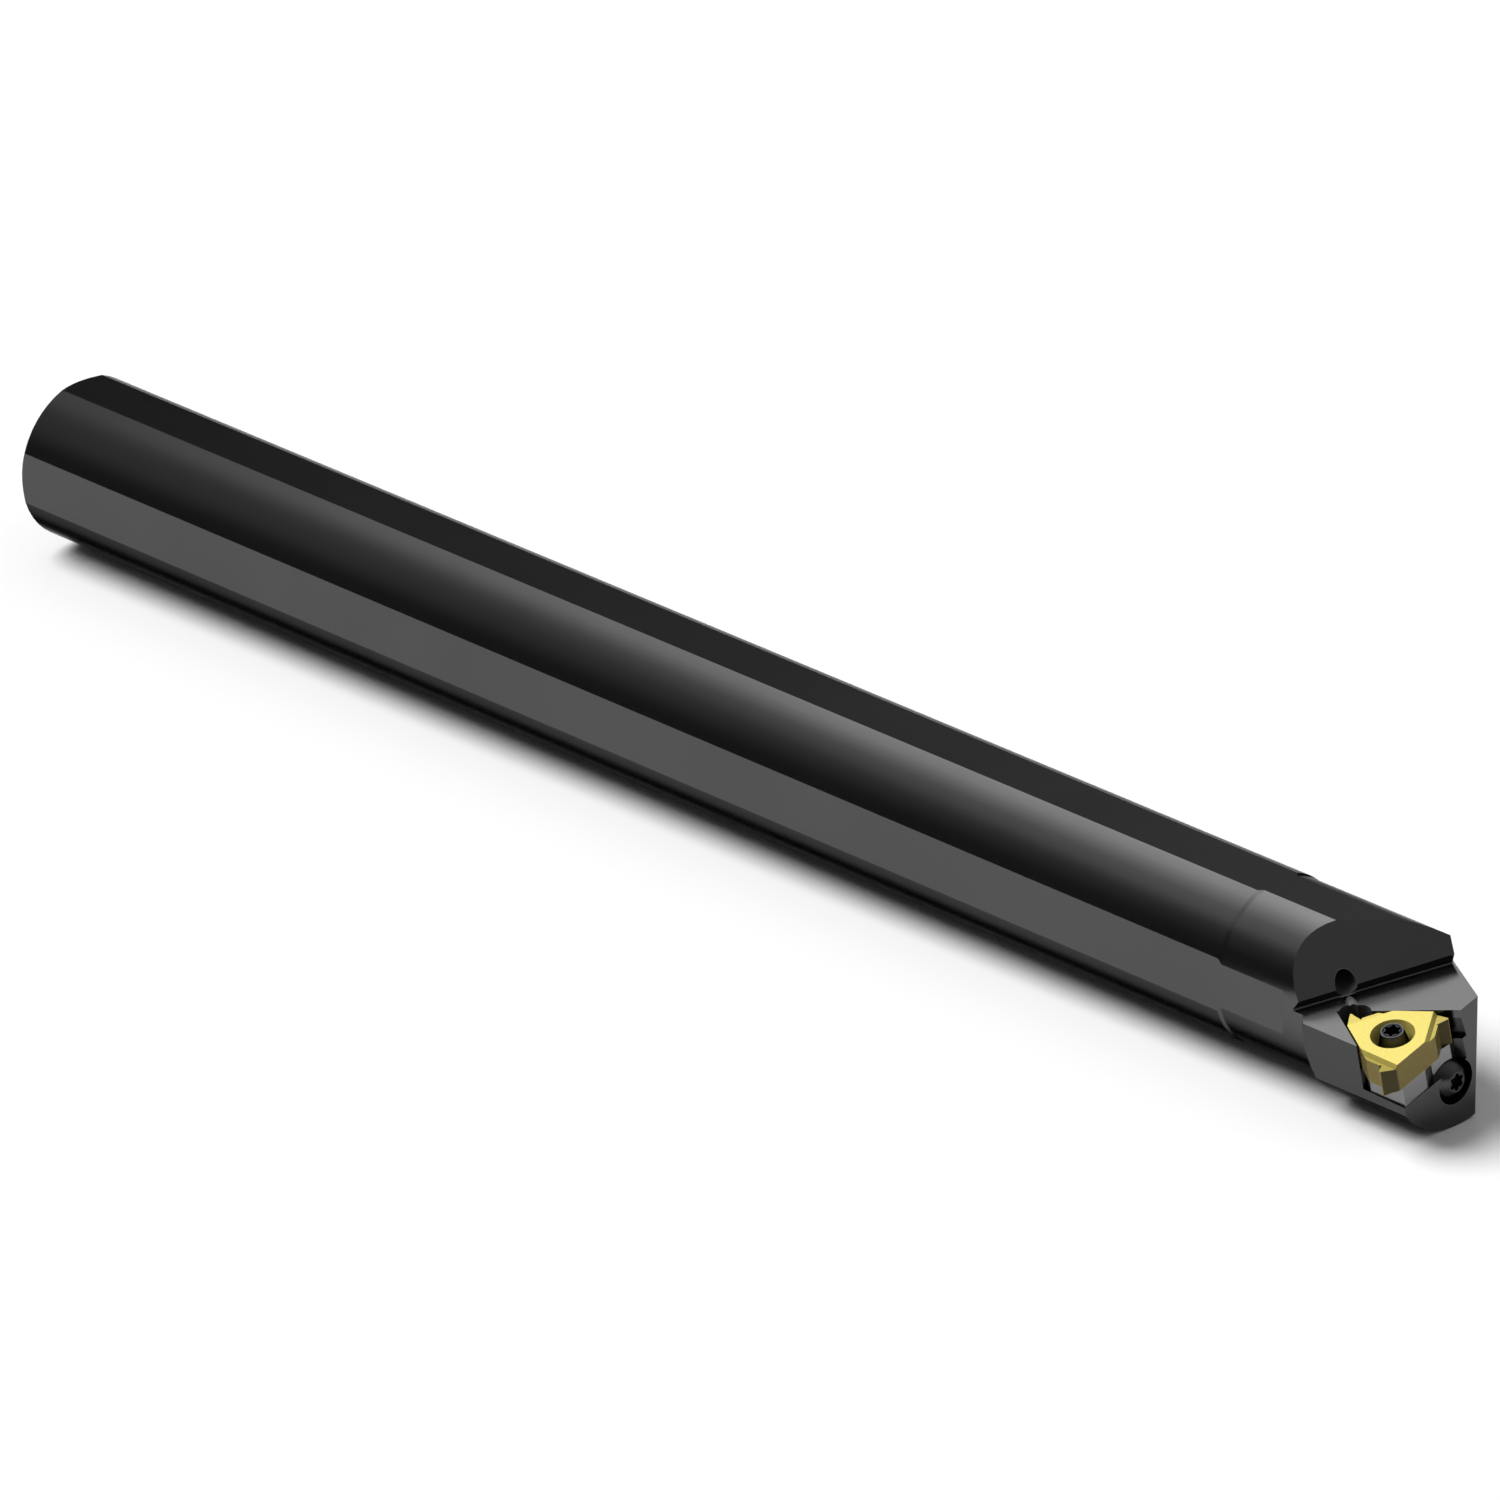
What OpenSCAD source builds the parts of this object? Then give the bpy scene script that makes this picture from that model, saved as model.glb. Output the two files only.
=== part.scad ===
// Internal threading boring bar with a lay-down insert, its shim and two screws.
// +X runs from the rear face to the cutting end, +Z is up, +Y points away from the cutting side.
// The origin is the centre of the rear face.

/* [Shank] */
// Shank diameter
shank_d = 31.75; // [30:0.25:40]
// Length from the rear face to the end face
bar_len = 355.6; // [345:0.1:400]
// Distance of each clamping flat from the bar's axis
flat_h = 15.04; // [14:0.01:18]
// Chamfer at the rear end
rear_chamfer = 0.9; // [0.5:0.1:3]
// Length of neck and head, ahead of the full shank
neck_len = 44.6; // [40:0.1:100]
// Length of the cone between shank and neck
neck_cone = 0.8; // [0.5:0.1:2]
// Neck diameter
neck_d = 31.24; // [29:0.02:31.6]
// Distance from the end face to the end of the front, bottom and back flats
flat_back = 28.9; // [26:0.1:50]

/* [Head] */
// Radius of the head's round underside
head_r = 16.93; // [16.6:0.01:17.5]
// Offset of the head's round from the bar's axis, along Y
head_y = -0.94; // [-1.5:0.01:0]
// Length of the head, from its flare to the end face
head_len = 23.6; // [22:0.1:25]
// Radius at which the head's flare starts
flare_r = 14.75; // [14.5:0.05:15]
// Lean of the insert pocket and of the top face, in degrees
head_lean = 15; // [10:0.5:20]
// Height of the top face above the bar's axis
top_z = 5.61; // [4:0.01:7]
// Distance of the leaning side face from the bar's axis
side_d = 16.44; // [16:0.01:17]
// Y of the relieved back edge at the end face
back_y = 3.79; // [3.5:0.01:6]
// Angle of the back relief from X, in degrees
back_angle = 26.3; // [24:0.1:29]
// How far the back relief is set in above the top face
back_step = 0.45; // [0.3:0.05:0.8]

/* [Chip ramp] */
// Angle of the ramp's upper edge from X, in degrees
ramp_angle = 46; // [40:0.5:52]
// Slope of the ramp, in degrees
ramp_slope = 52.96; // [45:0.01:60]
// Distance from the end face to the ramp's upper edge, at the top flat's near edge
ramp_back = 26.63; // [24:0.01:30]
// Y of the same point
ramp_y = -4.27; // [-5:0.01:-3]
// Angle of the foot of the ramp's wall from X, in degrees
foot_angle = 57.6; // [56:0.1:60]
// Fillet radius at the wall's foot
foot_r = 0.35; // [0.2:0.05:0.6]
// Distance from the end face to the start of the top face, on the bar's centre line
foot_back = 15.43; // [15:0.01:16]
// How far the top of the wall hangs over the start of the top face
wall_lip = 0.2; // [0.1:0.05:0.4]

/* [Insert] */
// Distance from the end face to the centre of the insert's top face
insert_back = 5.91; // [5.5:0.01:6.3]
// Y of the same centre
insert_y = -11.6; // [-12:0.01:-11.2]
// Z of the same centre
insert_z = 2.55; // [2.2:0.01:2.9]
// Downward tilt of the insert toward the end face, in degrees
helix = 2.3; // [0:0.1:4]
// Turn of the insert in its own plane, in degrees
spin = 1.0; // [0:0.1:2]
// Distance of each side from the insert's centre, half the inscribed circle
insert_in = 6.35; // [6:0.05:7]
// Insert thickness
insert_t = 5.56; // [4.5:0.02:6]
// Radius of the countersink at the insert's top face
sink_r = 4.0; // [3.5:0.05:4.5]
// Radius of the screw head's seat in the insert
seat_r = 2.75; // [2.6:0.01:3]
// Radius of the insert's through hole
hole_r = 2.25; // [2.1:0.01:2.5]
// Distance of a tooth's tip from the insert's centre, along the side
tooth_tip = 9.05; // [8.8:0.01:9.3]
// Distance of a tooth's middle line from the insert's centre, across the side
tooth_x = 4.72; // [4.6:0.01:4.8]
// Width of the flat at a tooth's tip
tip_w = 0.24; // [0.1:0.02:0.4]
// Depth of the chip groove behind each tooth
chip_depth = 0.7; // [0.3:0.05:1]
// Distance of the chip groove from the insert's centre
chip_start = 6.1; // [5.5:0.05:6.5]

/* [Shim and pocket] */
// Shim thickness
shim_t = 4.34; // [3:0.02:5]
// Distance of the shim's two hidden sides from its centre
shim_in = 5.75; // [5.4:0.05:6]
// Distance of the shim's front side from its centre
shim_front = 6.15; // [6:0.01:6.3]
// Distance of the shim's cut-off hidden corner from its centre
shim_back = 8.6; // [8:0.1:9]
// Distance of the shim's side toward the bar's side face from its centre
shim_side = 5.62; // [5.4:0.01:5.8]
// Gap between the insert and the pocket's side walls
seat_gap = 0.12; // [0.05:0.01:0.3]
// Gap between the shim and the lower pocket walls
shim_gap = 0.1; // [0.05:0.01:0.2]

/* [Screws and coolant] */
// Thread radius of both screws
screw_r = 1.95; // [1.8:0.01:2]
// Radial gap around the screws
screw_gap = 0.05; // [0.02:0.01:0.1]
// Y of the shim screw's axis
shim_screw_y = -1.47; // [-1.8:0.01:-1.2]
// Z of the shim screw's axis
shim_screw_z = -8.23; // [-8.5:0.01:-8]
// Radius of the shim screw's head
dome_r = 4.0; // [3.5:0.05:4.1]
// Depth of the shim screw's seat in the end face
dome_depth = 2.0; // [1.5:0.1:3]
// Radius of the coolant bore
coolant_r = 4; // [2:0.5:5]
// Core radius of the threaded coolant inlet
inlet_r = 5.9; // [5:0.1:6.5]
// Depth of the threaded coolant inlet
inlet_depth = 16; // [12:1:20]
// Radius of the coolant outlet
outlet_r = 1.95; // [1.5:0.05:2.2]

/* [Hidden] */
$fn = 96;
far = 60;
shank_r = shank_d / 2;
neck_r = neck_d / 2;
shim_top = -insert_t;
floor_z = -insert_t - shim_t;
wall_d = insert_in + seat_gap;
low_wall_d = shim_in + shim_gap;
shank_end = bar_len - neck_len;
flat_end = bar_len - flat_back;
head_start = bar_len - head_len;
ramp_x = bar_len - ramp_back;
foot_x = bar_len - foot_back;
insert_x = bar_len - insert_back;
dome_x = bar_len - dome_depth;
coolant_end = bar_len - 27.6;
outlet_pos = [bar_len - 20.4, -7.95, 5.58];
outlet_aim = [0.816, -0.516, -0.263];
outlet_back = 12;
riser = 9;
shoulder_y = 7.43;
notch_y = 7.12;
thread_depth = 7;
hole_depth = 7.5;
seat_slope = 0.7 / (seat_r - hole_r);

// Moves children to the insert's own frame, with its top face at z = 0.
module at_insert() {
    translate([insert_x, insert_y, insert_z])
        rotate([head_lean, 0, 0])
            rotate([0, helix, 0])
                rotate([0, 0, spin])
                    children();
}

// Extrudes a profile of (distance from the centre, height) square to a direction.
module facing(angle, length) {
    rotate([0, 0, angle])
        rotate([90, 0, 0])
            translate([0, 0, -length / 2])
                linear_extrude(height = length)
                    children();
}

// Six-lobed socket, cut downward from z = 0.
module lobed_socket(size, depth) {
    translate([0, 0, -depth])
        linear_extrude(height = depth + 1) {
            circle(r = size * 0.74, $fn = 48);
            for (k = [0:5])
                rotate(60 * k)
                    translate([size * 0.75, 0])
                        circle(r = size * 0.25, $fn = 24);
        }
}

// The round bar: shank with its rear chamfer, cone and neck.
module bar_round() {
    rotate([0, 90, 0])
        rotate_extrude()
            polygon([
                [0, 0],
                [shank_r - rear_chamfer, 0],
                [shank_r, rear_chamfer],
                [shank_r, shank_end],
                [neck_r, shank_end + neck_cone],
                [neck_r, bar_len],
                [0, bar_len]
            ]);
}

// The clamping flats. The top one runs on to the ramp, the others run out at 45 degrees.
module flats() {
    translate([-1, -far, flat_h])
        cube([bar_len + 2, 2 * far, far]);
    for (turn = [90, 180, 270])
        rotate([turn, 0, 0])
            translate([0, far, 0])
                rotate([90, 0, 0])
                    linear_extrude(height = 2 * far)
                        polygon([
                            [-1, flat_h],
                            [flat_end, flat_h],
                            [flat_end + 5, flat_h + 5],
                            [-1, flat_h + 5]
                        ]);
}

// Moves children to the leaning top face, above the bar's axis.
module at_top_face() {
    translate([0, 0, top_z])
        rotate([head_lean, 0, 0])
            children();
}

// The head's eccentric round, flared out of the neck and kept under the top face.
module head_round() {
    intersection() {
        translate([0, head_y, 0])
            rotate([0, 90, 0])
                rotate_extrude()
                    polygon([
                        [0, head_start - 6],
                        [flare_r - 6, head_start - 6],
                        [head_r, head_start + head_r - flare_r],
                        [head_r, bar_len],
                        [0, bar_len]
                    ]);
        at_top_face()
            translate([0, -far, -2 * far])
                cube([bar_len + 1, 2 * far, 2 * far]);
    }
}

// Everything above the level of the top face.
module above_top_face() {
    at_top_face()
        translate([bar_len - 2 * far, -far, 0])
            cube([3 * far, 2 * far, far]);
}

// Everything above both the sloping ramp and the level of the top face.
module ramp_cut() {
    intersection() {
        translate([ramp_x, ramp_y, flat_h])
            rotate([0, 0, ramp_angle - 90])
                rotate([0, ramp_slope, 0])
                    translate([-far, -far, 0])
                        cube([2 * far, 2 * far, far]);
        above_top_face();
    }
}

// Everything above the top face, up to an undercut wall with a small fillet at its foot.
module top_cut() {
    at_top_face()
        translate([foot_x, 0, 0])
            rotate([0, 0, foot_angle]) {
                translate([-far, 0, foot_r])
                    rotate([0, 90, 0])
                        cylinder(r = foot_r, h = 2 * far, $fn = 48);
                translate([-far, 0, 0])
                    rotate([90, 0, 90])
                        linear_extrude(height = 2 * far)
                            polygon([
                                [-far, 0],
                                [0, 0],
                                [foot_r, foot_r],
                                [-wall_lip, 2.1],
                                [-wall_lip, far],
                                [-far, far]
                            ]);
            }
}

// Everything behind the head's relieved back.
module back_cut(inset) {
    translate([bar_len, back_y - inset, -far])
        rotate([0, 0, -back_angle])
            translate([-far, 0, 0])
                cube([2 * far, far, 2 * far]);
}

// The leaning side face and the relieved back, set in above the top face.
module side_cuts() {
    rotate([head_lean, 0, 0])
        translate([head_start - 1, -side_d - far, -far])
            cube([bar_len, far, 2 * far]);
    back_cut(0);
    intersection() {
        back_cut(back_step);
        above_top_face();
    }
}

// Pocket wall profile as seen along the wall: chamfered lip, undercut and the shim's step.
module wall_profile() {
    polygon([
        [-far, floor_z - 5],
        [low_wall_d, floor_z - 5],
        [low_wall_d, shim_top],
        [wall_d + 0.3, shim_top],
        [wall_d, -1.4],
        [wall_d + 0.3, 0.6],
        [wall_d + 0.3, 5],
        [-far, 5]
    ]);
}

// The insert pocket with its corner relief and the open front and side.
module pocket() {
    intersection() {
        translate([-far, -far, floor_z])
            cube(2 * far);
        union() {
            intersection() {
                facing(120, 2 * far)
                    wall_profile();
                facing(240, 2 * far)
                    wall_profile();
            }
            translate([-11.1, 1.2, floor_z - 2])
                cylinder(r = 2.0, h = 17, $fn = 48);
            translate([-9.4, 1.5, floor_z - 2])
                cylinder(r = 2.4, h = 17, $fn = 48);
            translate([-3.45, -30, floor_z - 3])
                cube([30, 25.2, 18]);
        }
    }
}

// Coolant inlet, bore, riser and the outlet aimed at the cutting tooth.
module coolant() {
    translate([-1, 0, 0])
        rotate([0, 90, 0])
            cylinder(r = inlet_r, h = inlet_depth + 1);
    rotate([0, 90, 0])
        cylinder(r = coolant_r, h = coolant_end, $fn = 64);
    translate(outlet_pos - outlet_back * outlet_aim - [0, 0, riser])
        cylinder(r = outlet_r, h = riser, $fn = 48);
    translate(outlet_pos - outlet_back * outlet_aim)
        rotate([0, acos(outlet_aim[2]), atan2(outlet_aim[1], outlet_aim[0])])
            cylinder(r = outlet_r, h = outlet_back + 3, $fn = 48);
}

// Bar body in one piece: shank, neck and head.
module bar_body() {
    color([0.12, 0.12, 0.13])
        difference() {
            union() {
                difference() {
                    bar_round();
                    flats();
                }
                head_round();
            }
            ramp_cut();
            top_cut();
            side_cuts();
            at_insert() {
                pocket();
                translate([0, 0, floor_z - hole_depth])
                    cylinder(r = screw_r + screw_gap, h = hole_depth + 1, $fn = 48);
            }
            translate([dome_x, shim_screw_y, shim_screw_z])
                rotate([0, 90, 0]) {
                    cylinder(r = dome_r + 0.25, h = 10, $fn = 64);
                    translate([0, 0, -11])
                        cylinder(r = screw_r + screw_gap, h = 12, $fn = 48);
                }
            coolant();
        }
}

// Shim under the insert, notched for the head of its screw.
module shim() {
    color([0.6, 0.6, 0.62])
        difference() {
            at_insert()
                translate([0, 0, floor_z])
                    difference() {
                        linear_extrude(height = shim_t)
                            polygon([
                                [-shim_back, (shim_in - shim_back / 2) / sin(60)],
                                [-shim_back, -(shim_in - shim_back / 2) / sin(60)],
                                [2 * (sin(60) * shim_side - shim_in), -shim_side],
                                [shim_front, -shim_side],
                                [shim_front, 0.4],
                                [4.65, 3.5],
                                [5.36, 8.0],
                                [4.6, (shim_in + 2.3) / sin(60)]
                            ]);
                        translate([0, 0, -1])
                            cylinder(r = screw_r + 0.3, h = shim_t + 2, $fn = 48);
                    }
            translate([dome_x, shim_screw_y, shim_screw_z])
                rotate([0, 90, 0])
                    cylinder(r = dome_r + 0.25, h = 10, $fn = 64);
        }
}

// Button-head screw that holds the shim from the end face.
module shim_screw() {
    color([0.05, 0.05, 0.06])
        translate([dome_x, shim_screw_y, shim_screw_z])
            rotate([0, 90, 0])
                difference() {
                    union() {
                        intersection() {
                            cylinder(r = dome_r, h = 2.25, $fn = 64);
                            translate([0, 0, -1.9])
                                sphere(r = 4.6, $fn = 96);
                        }
                        translate([0, 0, -10])
                            cylinder(r = screw_r, h = 10.5, $fn = 48);
                    }
                    translate([0, 0, 2.25])
                        lobed_socket(1.75, 1.5);
                }
}

// One corner of the insert's outline: shoulder, notch and the 60 degree tooth.
function corner(turn) = [
    for (p = [
        [2 * (sin(60) * shoulder_y - insert_in), -shoulder_y],
        [tooth_x - 1.52, -shoulder_y],
        [tooth_x - tip_w / 2 - (tooth_tip - notch_y) * tan(30), -notch_y],
        [tooth_x - tip_w / 2, -tooth_tip],
        [tooth_x + tip_w / 2, -tooth_tip],
        [insert_in - 0.04, -tooth_tip + (insert_in - 0.04 - tooth_x - tip_w / 2) / tan(30)],
        [insert_in, -6.3]
    ]) [p[0] * cos(turn) - p[1] * sin(turn), p[0] * sin(turn) + p[1] * cos(turn)]
];

// Threading insert with three teeth, chip grooves and a countersunk hole.
module insert() {
    color([0.9, 0.75, 0.3])
        at_insert()
            difference() {
                translate([0, 0, -insert_t])
                    linear_extrude(height = insert_t)
                        polygon(concat(corner(0), corner(120), corner(240)));
                for (turn = [270, 30, 150])
                    facing(turn, 2 * far)
                        polygon([
                            [chip_start, 0],
                            [chip_start + chip_depth * 0.9, -chip_depth],
                            [9.4, -0.12],
                            [9.4, 2],
                            [chip_start, 2]
                        ]);
                rotate_extrude($fn = 64)
                    polygon([
                        [0, 1],
                        [sink_r, 1],
                        [sink_r, 0],
                        [seat_r, -2.2],
                        [seat_r, -2.9],
                        [hole_r, -3.6],
                        [hole_r, -insert_t - 1],
                        [0, -insert_t - 1]
                    ]);
            }
}

// Countersunk screw, seated on the insert's cone, that clamps insert and shim onto the pocket floor.
module insert_screw() {
    color([0.05, 0.05, 0.06])
        at_insert()
            difference() {
                rotate_extrude($fn = 64)
                    polygon([
                        [0, 0.75],
                        [2.05, 0.75],
                        [2.15, 0.6],
                        [seat_r - screw_gap, -1.9],
                        [seat_r - screw_gap, -2.9 - screw_gap * seat_slope],
                        [hole_r - screw_gap, -3.6 - screw_gap * seat_slope],
                        [screw_r, -3.6 - screw_gap * seat_slope],
                        [screw_r, floor_z - thread_depth + 0.5],
                        [screw_r - 0.5, floor_z - thread_depth],
                        [0, floor_z - thread_depth]
                    ]);
                translate([0, 0, 0.75])
                    lobed_socket(1.65, 2.0);
            }
}

bar_body();
shim();
shim_screw();
insert();
insert_screw();
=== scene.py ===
import math

import bpy
from mathutils import Matrix, Vector


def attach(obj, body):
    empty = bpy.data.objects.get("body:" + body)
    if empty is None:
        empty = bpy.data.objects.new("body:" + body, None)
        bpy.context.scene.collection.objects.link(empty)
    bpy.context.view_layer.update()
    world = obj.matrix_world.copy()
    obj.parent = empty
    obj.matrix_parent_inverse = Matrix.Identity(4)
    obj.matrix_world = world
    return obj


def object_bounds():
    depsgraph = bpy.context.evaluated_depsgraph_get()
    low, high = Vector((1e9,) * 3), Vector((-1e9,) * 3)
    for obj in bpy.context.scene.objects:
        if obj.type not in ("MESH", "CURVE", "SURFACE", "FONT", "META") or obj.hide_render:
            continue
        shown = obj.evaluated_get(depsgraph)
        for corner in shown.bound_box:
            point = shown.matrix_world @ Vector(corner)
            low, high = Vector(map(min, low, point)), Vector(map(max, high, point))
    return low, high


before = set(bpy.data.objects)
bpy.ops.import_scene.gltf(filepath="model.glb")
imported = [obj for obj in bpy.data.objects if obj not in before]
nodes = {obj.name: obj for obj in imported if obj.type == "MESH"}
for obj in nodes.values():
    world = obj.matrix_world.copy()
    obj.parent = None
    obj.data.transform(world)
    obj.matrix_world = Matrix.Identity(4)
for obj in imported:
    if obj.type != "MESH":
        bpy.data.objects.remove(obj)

cad_box = [list(corner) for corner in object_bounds()]


# Camera and studio
# A long lens looks down on the bar, on a plain pale floor under a dim sky. The bar's greys come
# from what it mirrors: two graded softboxes, and a few brighter patches of the sky.
def place_camera(place, tilt, turn, focal_length):
    lens = bpy.data.cameras.new("camera")
    lens.lens = focal_length
    lens.sensor_width = 36.0
    lens.clip_start = 0.1
    lens.clip_end = 60.0
    camera = bpy.data.objects.new("camera", lens)
    camera.location = place
    camera.rotation_euler = (math.radians(tilt), 0.0, math.radians(turn))
    bpy.context.scene.collection.objects.link(camera)
    bpy.context.scene.camera = camera


def add(tree, kind, inputs=None, **settings):
    """A new node with these settings. Each input is a value, or another node's output."""
    node = tree.nodes.new(kind)
    for name, value in settings.items():
        setattr(node, name, value)
    for name, value in (inputs or {}).items():
        if isinstance(value, bpy.types.NodeSocket):
            tree.links.new(value, node.inputs[name])
        else:
            node.inputs[name].default_value = value
    return node


def maths(tree, operation, *values):
    return add(tree, "ShaderNodeMath", dict(enumerate(values)), operation=operation).outputs[0]


def mapped(tree, value, start, end, low=0.0, high=1.0):
    """The value on its way from start to end, as a level between low and high."""
    inputs = {"Value": value, "From Min": start, "From Max": end, "To Min": low, "To Max": high}
    return add(tree, "ShaderNodeMapRange", inputs).outputs["Result"]


def dot(tree, one, other):
    inputs = {0: one, 1: other}
    return add(tree, "ShaderNodeVectorMath", inputs, operation="DOT_PRODUCT").outputs["Value"]


def flat_panel(name, low, high, height):
    mesh = bpy.data.meshes.new(name)
    corners = ((low[0], low[1]), (high[0], low[1]), (high[0], high[1]), (low[0], high[1]))
    mesh.from_pydata([(x, y, height) for x, y in corners], [], [(0, 1, 2, 3)])
    panel = bpy.data.objects.new(name, mesh)
    bpy.context.scene.collection.objects.link(panel)
    return panel


def softbox(name, turn, sides, rise, stops, strength):
    """A diffuser over the bar that the sky shows through. It brightens over the rise along its
    own x, and the stops give its brightness along its own y."""
    near = stops[0][0]
    far = stops[-1][0]
    height = 0.9
    panel = flat_panel(name, (sides[0], near), (sides[1], far), height)
    panel.rotation_euler = (0.0, 0.0, math.radians(turn))
    panel.visible_camera = False
    panel.visible_diffuse = False

    material = bpy.data.materials.new(name)
    material.use_nodes = True
    tree = material.node_tree
    tree.nodes.clear()
    here = add(tree, "ShaderNodeTexCoord").outputs["Object"]
    place = add(tree, "ShaderNodeSeparateXYZ", {0: here})
    along = mapped(tree, place.outputs["X"], *rise)
    across = mapped(tree, place.outputs["Y"], near, far)
    profile = add(tree, "ShaderNodeValToRGB", {"Fac": across})
    while len(profile.color_ramp.elements) < len(stops):
        profile.color_ramp.elements.new(0.5)
    for element, (y, level) in zip(profile.color_ramp.elements, stops):
        element.position = (y - near) / (far - near)
        element.color = (level, level, level, 1.0)
    level = maths(tree, "MULTIPLY", profile.outputs["Color"], along)
    scaled = maths(tree, "MULTIPLY", level, strength)
    glow = add(tree, "ShaderNodeEmission", {"Strength": scaled}).outputs[0]
    clear = add(tree, "ShaderNodeBsdfTransparent").outputs[0]
    both = add(tree, "ShaderNodeAddShader", {0: glow, 1: clear}).outputs[0]
    add(tree, "ShaderNodeOutputMaterial", {"Surface": both})
    panel.data.materials.append(material)


def soft_daylight(toward, strength, spread):
    """Even light for the floor, from so wide a source that its shadow has no edge."""
    data = bpy.data.lights.new("daylight", "SUN")
    data.energy = strength
    data.angle = math.radians(spread)
    lamp = bpy.data.objects.new("daylight", data)
    lamp.rotation_euler = Vector(toward).to_track_quat("Z", "Y").to_euler()
    lamp.visible_glossy = False
    bpy.context.scene.collection.objects.link(lamp)


def sky(everywhere, patches):
    """A dim sky with brighter patches, each round a direction, as narrow as its power is high."""
    world = bpy.data.worlds.new("sky")
    bpy.context.scene.world = world
    world.use_nodes = True
    tree = world.node_tree
    where = add(tree, "ShaderNodeTexCoord").outputs["Generated"]
    total = everywhere
    for toward, power, level in patches:
        near = dot(tree, where, Vector(toward).normalized())
        narrow = maths(tree, "POWER", maths(tree, "MAXIMUM", near, 0.0), power)
        total = maths(tree, "ADD", maths(tree, "MULTIPLY", narrow, level), total)
    background = tree.nodes["Background"]
    background.inputs["Color"].default_value = (1.0, 1.0, 1.0, 1.0)
    tree.links.new(total, background.inputs["Strength"])


def lay_floor(height, reach):
    floor = flat_panel("floor", (-reach, -reach), (reach, reach), height)
    material = bpy.data.materials.new("floor")
    material.use_nodes = True
    shader = material.node_tree.nodes["Principled BSDF"]
    shader.inputs["Base Color"].default_value = (0.85, 0.85, 0.85, 1.0)
    shader.inputs["Roughness"].default_value = 1.0
    shader.inputs["Specular IOR Level"].default_value = 0.0
    floor.data.materials.append(material)


place_camera((1.956883, -1.777255, 1.169287), tilt=65.0, turn=45.0, focal_length=365.38)

# What the camera sees mirrored in each patch of the sky, from the photograph's side.
round_sky = ((-0.62, 0.15, 0.77), 6.0, 0.29)
low_round_sky = ((-0.64, -0.56, 0.52), 30.0, 0.13)
ramp_sky = ((0.48, -0.44, 0.75), 6.0, 0.18)
top_flat_sky = ((-0.66, 0.66, 0.36), 10.0, 0.13)
zenith_sky = ((0.0, 0.0, 1.0), 2.0, 0.10)
# This one is for the sides that the photograph doesn't show.
far_side_sky = ((0.6, 0.6, 0.53), 3.0, 0.5)
sky(0.04, (round_sky, zenith_sky, ramp_sky, top_flat_sky, low_round_sky, far_side_sky))

# The overhead box lights the round between the flats and the head's top face.
overhead = (
    (-1.1, 0.0), (-0.64, 0.15), (-0.32, 0.16), (-0.05, 0.38), (0.2, 0.7),
    (0.3, 0.82), (0.42, 1.0), (0.64, 0.0), (0.8, 0.0),
)
softbox("softbox", 0.0, (-1.0, 0.3), (-0.80, -0.47), overhead, 3.6)

# The back box lights the top flat, which brightens toward the head.
behind = ((1.1, 0.0), (1.35, 1.0), (2.5, 1.0), (3.1, 0.0))
softbox("back_softbox", 45.0, (-0.3, 0.8), (-0.08, 0.32), behind, 0.52)

soft_daylight((-0.5, -0.35, 0.79), strength=3.7, spread=40.0)
lay_floor(height=cad_box[0][2], reach=12.0)


# Bar body
# One piece of alloy steel, turned, milled and ground, then blackened. It has fine grinding lines,
# a slightly uneven black, worn bright metal on its edges, and duller walls in its drilled holes.
def new_group(name, kind, inputs, outputs):
    """An empty node group, with its named inputs and their values, and its named outputs."""
    group = bpy.data.node_groups.new(name, kind)
    ports = group.interface
    for label, value in inputs.items():
        shape = "NodeSocketVector" if isinstance(value, tuple) else "NodeSocketFloat"
        ports.new_socket(label, in_out="INPUT", socket_type=shape).default_value = value
    for label, shape in outputs.items():
        ports.new_socket(label, in_out="OUTPUT", socket_type=shape)
    return group, add(group, "NodeGroupInput").outputs


def grouped(tree, group, inputs):
    return add(tree, "ShaderNodeGroup", inputs, node_tree=group).outputs


def object_coordinates(tree):
    return add(tree, "ShaderNodeTexCoord").outputs["Object"]


def edge_wear_group():
    """Mask of worn edges, broken up by noise."""
    values = {"Vector": (0.0, 0.0, 0.0), "Width": 0.0003, "Amount": 0.6, "Break Up": 500.0}
    group, given = new_group("edge_wear", "ShaderNodeTree", values, {"Wear": "NodeSocketFloat"})
    rounded = add(group, "ShaderNodeBevel", {"Radius": given["Width"]}, samples=4)
    flat = add(group, "ShaderNodeNewGeometry")
    # The rounded and the true normal agree fully on a flat face, and less beside an edge.
    agreement = dot(group, rounded.outputs["Normal"], flat.outputs["Normal"])
    flat_face = 0.995
    edge_itself = 0.90
    turned = mapped(group, agreement, flat_face, edge_itself)
    spots = {"Vector": given["Vector"], "Scale": given["Break Up"], "Detail": 3.0}
    noise = add(group, "ShaderNodeTexNoise", spots).outputs["Fac"]
    unworn_spot = 0.35
    worn_spot = 0.65
    worn = maths(group, "MULTIPLY", turned, mapped(group, noise, unworn_spot, worn_spot))
    wear = maths(group, "MULTIPLY", worn, given["Amount"])
    add(group, "NodeGroupOutput", {"Wear": wear})
    return group


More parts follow.
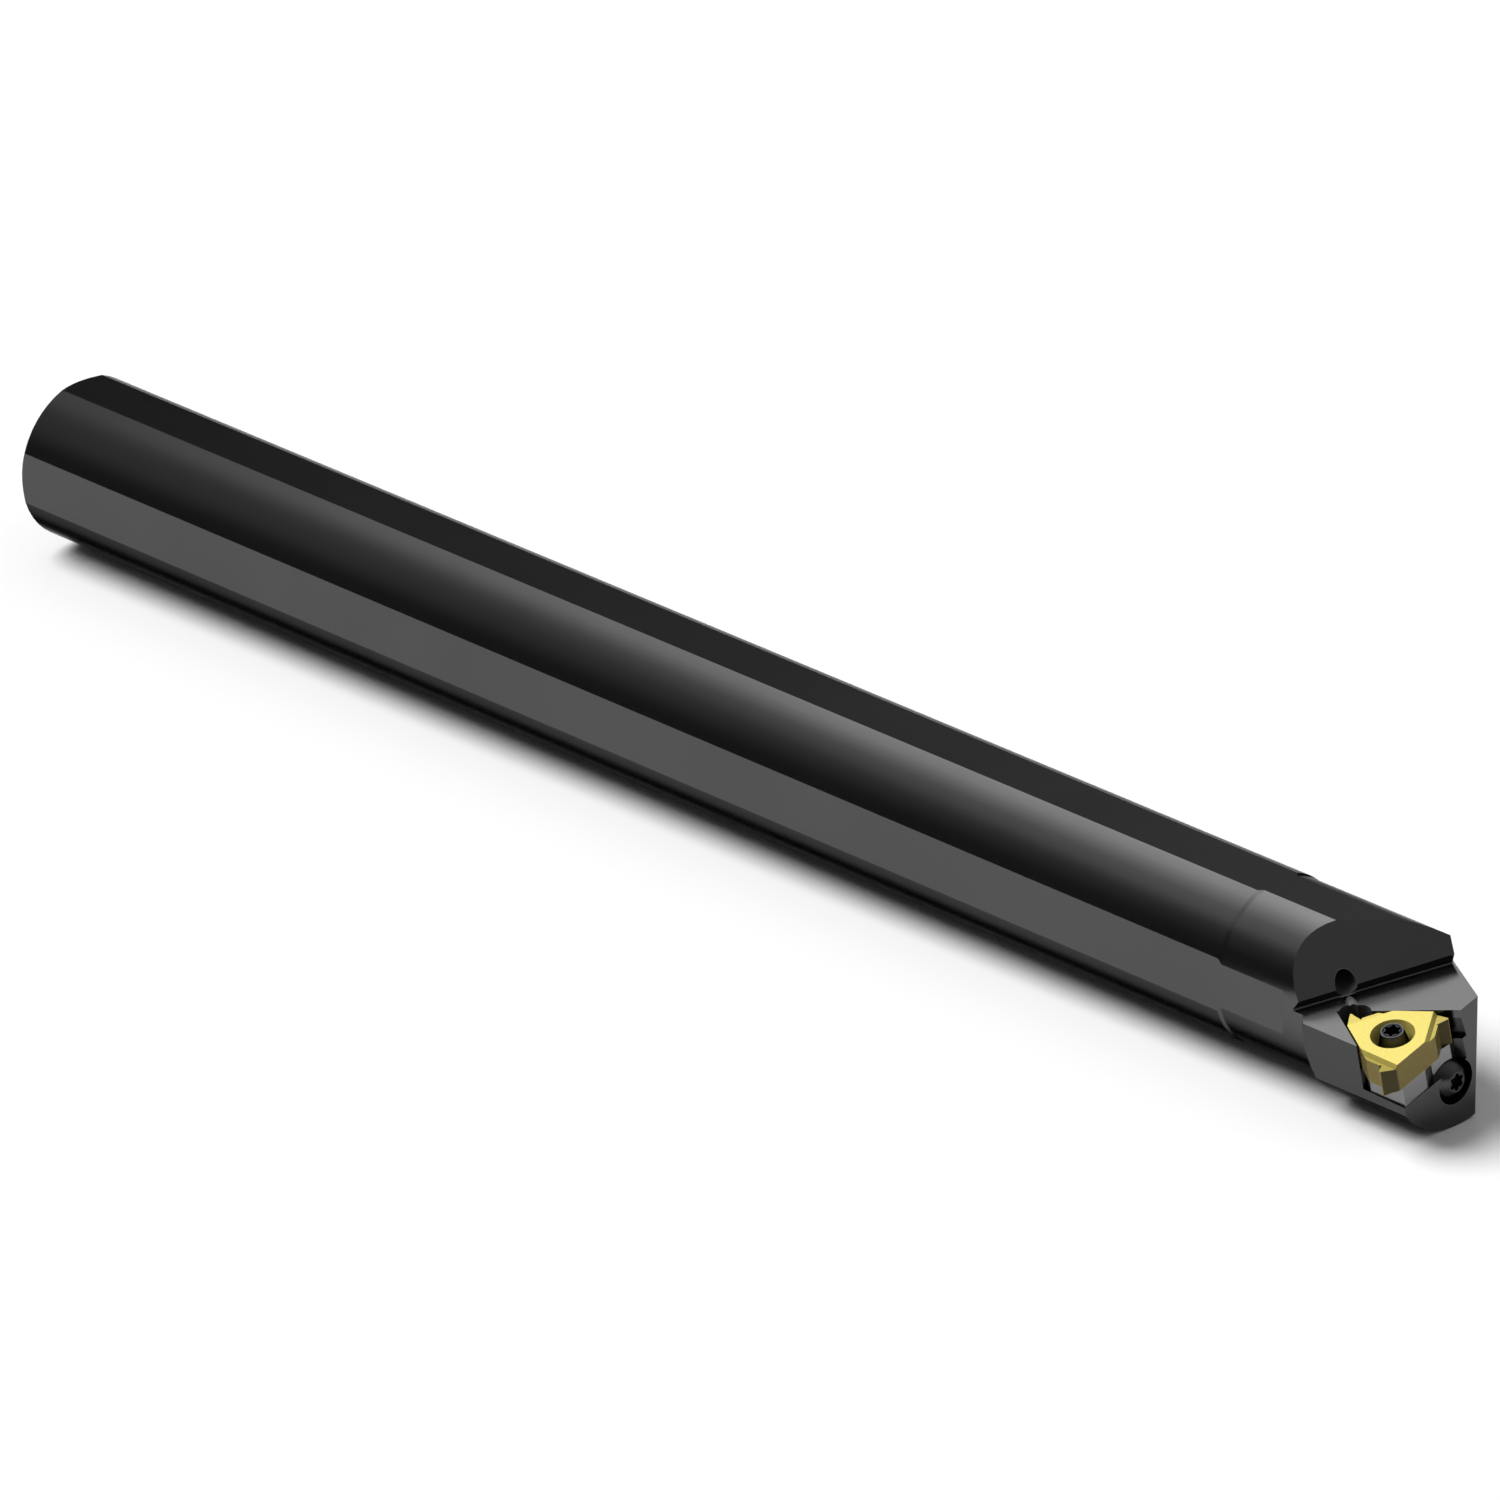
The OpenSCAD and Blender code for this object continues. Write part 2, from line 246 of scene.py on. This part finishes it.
def grain_group():
    """Fine lines along one way of the piece, with a slow unevenness."""
    values = {"Vector": (0.0, 0.0, 0.0), "Stretch": (4000.0, 300.0, 4000.0), "Cloud Scale": 40.0}
    outputs = {"Grain": "NodeSocketFloat", "Cloud": "NodeSocketFloat"}
    group, given = new_group("ground_grain", "ShaderNodeTree", values, outputs)
    stretched = {0: given["Vector"], 1: given["Stretch"]}
    place = add(group, "ShaderNodeVectorMath", stretched, operation="MULTIPLY").outputs["Vector"]
    fine = {"Vector": place, "Scale": 1.0, "Detail": 2.0}
    slow = {"Vector": given["Vector"], "Scale": given["Cloud Scale"], "Detail": 4.0}
    grain = add(group, "ShaderNodeTexNoise", fine).outputs["Fac"]
    cloud = add(group, "ShaderNodeTexNoise", slow).outputs["Fac"]
    add(group, "NodeGroupOutput", {"Grain": grain, "Cloud": cloud})
    return group


def bore_group():
    """Mask of what is within a radius of part of a line, such as the wall of a bore. The axis has
    length 1, and start and end are distances along it from the point."""
    zero = (0.0, 0.0, 0.0)
    values = {
        "Vector": zero, "Point": zero, "Axis": zero, "Radius": 0.001, "Start": 0.0, "End": 0.01
    }
    group, given = new_group("bore_wall", "ShaderNodeTree", values, {"Inside": "NodeSocketFloat"})
    apart = {0: given["Vector"], 1: given["Point"]}
    apart = add(group, "ShaderNodeVectorMath", apart, operation="SUBTRACT").outputs["Vector"]
    around = {0: apart, 1: given["Axis"]}
    around = add(group, "ShaderNodeVectorMath", around, operation="CROSS_PRODUCT")
    around = {0: around.outputs["Vector"]}
    distance = add(group, "ShaderNodeVectorMath", around, operation="LENGTH").outputs["Value"]
    blur = 0.00003
    near = mapped(group, distance, maths(group, "ADD", given["Radius"], blur), given["Radius"])
    along = dot(group, apart, given["Axis"])
    past_start = maths(group, "GREATER_THAN", along, given["Start"])
    before_end = maths(group, "LESS_THAN", along, given["End"])
    inside = maths(group, "MULTIPLY", maths(group, "MULTIPLY", near, past_start), before_end)
    add(group, "NodeGroupOutput", {"Inside": inside})
    return group


edge_wear = edge_wear_group()
ground_grain = grain_group()
bore_wall = bore_group()


def mixed(tree, share, one, other):
    inputs = {"Factor": share, "A": one, "B": other}
    return add(tree, "ShaderNodeMix", inputs, data_type="RGBA")


def metal(name, colour, bright, roughness, stretch, metallic=1.0):
    """Ground metal: an uneven colour, brighter worn edges, and grain in its gloss and relief. The
    specular tint makes it dull at a glance."""
    material = bpy.data.materials.new(name)
    material.use_nodes = True
    tree = material.node_tree
    shader = tree.nodes["Principled BSDF"]
    shader.inputs["Metallic"].default_value = metallic
    shader.inputs["Specular Tint"].default_value = (0.22, 0.22, 0.22, 1.0)
    where = object_coordinates(tree)
    wear = grouped(tree, edge_wear, {"Vector": where, "Width": 0.00025, "Amount": 0.5})["Wear"]
    grain = grouped(tree, ground_grain, {"Vector": where, "Stretch": stretch})

    unevenness = 0.07
    darker = tuple(level * (1.0 - unevenness) for level in colour) + (1.0,)
    lighter = tuple(level * (1.0 + unevenness) for level in colour) + (1.0,)
    uneven = mixed(tree, grain["Cloud"], darker, lighter)
    edge = mixed(tree, wear, uneven.outputs["Result"], bright + (1.0,))
    edge.name = "edge"
    tree.links.new(edge.outputs["Result"], shader.inputs["Base Color"])

    either_way = 0.04
    smoothest = roughness - either_way
    roughest = roughness + either_way
    rough = mapped(tree, grain["Grain"], 0.0, 1.0, smoothest, roughest)
    tree.links.new(rough, shader.inputs["Roughness"])
    relief = {"Height": grain["Grain"], "Strength": 0.02, "Distance": 0.00002}
    relief = add(tree, "ShaderNodeBump", relief).outputs["Normal"]
    tree.links.new(relief, shader.inputs["Normal"])
    return material


def dress(name, material):
    for slot in nodes[name].material_slots:
        slot.material = material


def inside_bore(tree, point, axis, radius, start, end):
    inputs = {
        "Vector": object_coordinates(tree), "Point": point, "Axis": Vector(axis).normalized(),
        "Radius": radius, "Start": start, "End": end,
    }
    return grouped(tree, bore_wall, inputs)["Inside"]


def tint_where(tree, mask, colour):
    """Lays a colour over the base colour, under the worn edges."""
    edge = tree.nodes["edge"]
    below = edge.inputs["A"].links[0].from_socket
    tinted = mixed(tree, mask, below, colour + (1.0,))
    tree.links.new(tinted.outputs["Result"], edge.inputs["A"])


# The pocket, the insert and its screw share the centre of the insert's top face and its lean.
insert_centre = Vector((0.34969, -0.0116, 0.00255))
lean = Matrix.Rotation(math.radians(15.0), 3, "X") @ Matrix.Rotation(math.radians(2.3), 3, "Y")
insert_turn = lean @ Matrix.Rotation(math.radians(1.0), 3, "Z")
top = insert_turn @ Vector((0.0, 0.0, 1.0))

along_grain = (60.0, 5000.0, 5000.0)
black_steel = metal(
    "black_steel", (0.092, 0.092, 0.093), (0.16, 0.16, 0.16), roughness=0.19, stretch=along_grain
)
steel_tree = black_steel.node_tree
outer_relief = insert_centre + insert_turn @ Vector((-0.0111, 0.0012, 0.0))
inner_relief = insert_centre + insert_turn @ Vector((-0.0094, 0.0015, 0.0))
outlet = Vector((0.3352, -0.00795, 0.00558))
outlet_axis = (0.816, -0.516, -0.263)
rear_face = (0.0, 0.0, 0.0)
inward = (1.0, 0.0, 0.0)
drilled = inside_bore(steel_tree, rear_face, inward, 0.00592, start=0.0002, end=0.0158)
for hole in (
    inside_bore(steel_tree, outer_relief, top, 0.00203, start=-0.0105, end=0.006),
    inside_bore(steel_tree, inner_relief, top, 0.00243, start=-0.0105, end=0.006),
    inside_bore(steel_tree, outlet, outlet_axis, 0.00197, start=-0.014, end=0.008),
):
    drilled = maths(steel_tree, "MAXIMUM", drilled, hole)
tint_where(steel_tree, drilled, (0.075, 0.075, 0.08))
ground_metallic = 1.0
drilled_metallic = 0.25
metallic = mapped(steel_tree, drilled, 0.0, 1.0, ground_metallic, drilled_metallic)
steel_tree.links.new(metallic, steel_tree.nodes["Principled BSDF"].inputs["Metallic"])
dress("bar_body", black_steel)


# Inlet thread
# Fine thread cut in the wall of the coolant inlet. Its crests are one ridge that follows a helix
# on the core hole's wall, and it thins out over its first and its last turn.
def thread_tree(material):
    values = {"Start": 0.0, "Pitch": 0.001, "Turns": 5.0, "Wall": 0.005, "Depth": 0.0005}
    outputs = {"Geometry": "NodeSocketGeometry"}
    tree, given = new_group("inlet_thread", "GeometryNodeTree", values, outputs)
    pitch = given["Pitch"]
    turns = given["Turns"]
    depth = given["Depth"]

    helix = {
        "Resolution": 48, "Reverse": True, "Rotations": turns, "Start Radius": given["Wall"],
        "End Radius": given["Wall"], "Height": maths(tree, "MULTIPLY", turns, pitch),
    }
    helix = add(tree, "GeometryNodeCurveSpiral", helix).outputs["Curve"]
    upright = add(tree, "GeometryNodeSetCurveNormal", {"Curve": helix}, mode="Z_UP")
    along = add(tree, "GeometryNodeSplineParameter").outputs["Factor"]
    from_first = maths(tree, "MULTIPLY", along, turns)
    from_last = maths(tree, "SUBTRACT", turns, from_first)
    nearest = maths(tree, "MINIMUM", from_first, from_last)
    thinnest = 0.05
    fade = maths(tree, "MAXIMUM", maths(tree, "MINIMUM", nearest, 1.0), thinnest)

    # The ridge's foot stands a little inside the wall, so that no gap shows there. Widths are
    # shares of the pitch, and the rise is a share of the depth.
    foot_width = 0.92
    crest_width = 0.16
    rise = 0.45
    ridge = {
        "Bottom Width": maths(tree, "MULTIPLY", pitch, foot_width),
        "Top Width": maths(tree, "MULTIPLY", pitch, crest_width),
        "Offset": 0.0, "Height": depth,
    }
    ridge = add(tree, "GeometryNodeCurvePrimitiveQuadrilateral", ridge, mode="TRAPEZOID")
    lift = add(tree, "ShaderNodeCombineXYZ", {"X": maths(tree, "MULTIPLY", depth, -rise)})
    raised = {
        "Geometry": ridge.outputs["Curve"], "Translation": lift.outputs[0],
        "Rotation": (0.0, 0.0, math.radians(90.0)),
    }
    raised = add(tree, "GeometryNodeTransform", raised).outputs["Geometry"]
    swept = {
        "Curve": upright.outputs["Curve"], "Profile Curve": raised, "Scale": fade,
        "Fill Caps": True,
    }
    swept = add(tree, "GeometryNodeCurveToMesh", swept).outputs["Mesh"]

    inward = add(tree, "ShaderNodeCombineXYZ", {"X": given["Start"]}).outputs[0]
    placed = {
        "Geometry": swept, "Translation": inward, "Rotation": (0.0, math.radians(90.0), 0.0)
    }
    placed = add(tree, "GeometryNodeTransform", placed).outputs["Geometry"]
    real = add(tree, "GeometryNodeRealizeInstances", {"Geometry": placed}).outputs["Geometry"]
    finish = {"Geometry": real, "Material": material}
    finish = add(tree, "GeometryNodeSetMaterial", finish).outputs["Geometry"]
    add(tree, "NodeGroupOutput", {"Geometry": finish})
    return tree


def grown(name, tree, **values):
    """A plain mesh object of what a geometry tree makes with these values."""
    piece = bpy.data.objects.new(name, bpy.data.meshes.new(name))
    bpy.context.scene.collection.objects.link(piece)
    growth = piece.modifiers.new(name, "NODES")
    growth.node_group = tree
    for port in tree.interface.items_tree:
        if port.in_out == "INPUT":
            growth[port.identifier] = values[port.name]
    evaluated = piece.evaluated_get(bpy.context.evaluated_depsgraph_get())
    mesh = bpy.data.meshes.new_from_object(evaluated)
    piece.modifiers.clear()
    piece.data = mesh
    return piece


thread_steel = metal(
    "thread_steel", (0.085, 0.085, 0.09), (0.16, 0.16, 0.16), roughness=0.30,
    stretch=along_grain, metallic=0.5,
)
thread = grown(
    "inlet_thread", thread_tree(thread_steel),
    Start=0.0014, Pitch=0.00181, Turns=7.25, Wall=0.0059, Depth=0.0006,
)
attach(thread, "root")


# Shim
# A ground plate of bare tool steel under the insert, paler than the bar. It lies on the pocket's
# floor and takes its place from the screw beside it.
shim_steel = metal(
    "shim_steel", (0.24, 0.24, 0.24), (0.4, 0.4, 0.4), roughness=0.32,
    stretch=(3000.0, 3000.0, 200.0),
)
dress("shim", shim_steel)


# Insert
# Pressed and ground carbide with a gold coloured hard coating. Painted shade darkens the faces that
# turn away from the top, and darkens most the trailing side of each of the three teeth.
def facing(tree, toward, low, high):
    """Mask of the faces that point one way in the piece's own coordinates."""
    normal = add(tree, "ShaderNodeTexCoord").outputs["Normal"]
    return mapped(tree, dot(tree, normal, toward), low, high)


gold_coating = metal(
    "gold_coating", (0.50, 0.42, 0.102), (0.56, 0.47, 0.15), roughness=0.26,
    stretch=(4000.0, 4000.0, 4000.0), metallic=0.42,
)
gold_tree = gold_coating.node_tree
painted_side_shade = (0.185, 0.142, 0.042)
trailing_painted_shade = (0.05, 0.04, 0.014)
# Painted shade: the faces that turn away from the insert's top are darkened.
tint_where(gold_tree, facing(gold_tree, top, 0.6, 0.1), painted_side_shade)
for tooth in (0.0, 120.0, 240.0):
    angle = math.radians(tooth - 30.0)
    trailing = insert_turn @ Vector((math.cos(angle), math.sin(angle), 0.0))
    # Painted shade: the trailing flank of each tooth is darkened most.
    tint_where(gold_tree, facing(gold_tree, trailing, 0.93, 0.97), trailing_painted_shade)
dress("insert", gold_coating)


# Screws
# Both screws are blackened steel, a little rougher than the bar. On the insert's screw, painted
# shade darkens the socket and the inner part of the head's top, so that the rim shows paler.
def screw_metal(name):
    return metal(
        name, (0.06, 0.06, 0.062), (0.2, 0.2, 0.2), roughness=0.24,
        stretch=(3000.0, 3000.0, 3000.0),
    )


dress("shim_screw", screw_metal("screw_steel"))

socket_shade_steel = screw_metal("socket_shade_steel")
socket_shade_tree = socket_shade_steel.node_tree
socket = inside_bore(socket_shade_tree, insert_centre, top, 0.00182, start=-0.02, end=0.01)
# Painted shade: within the socket's radius the screw's colour is darkened.
tint_where(socket_shade_tree, socket, (0.012, 0.012, 0.013))
dress("insert_screw", socket_shade_steel)


# Finished picture
# The colours come out as they are written.
bpy.context.scene.view_settings.view_transform = "Standard"
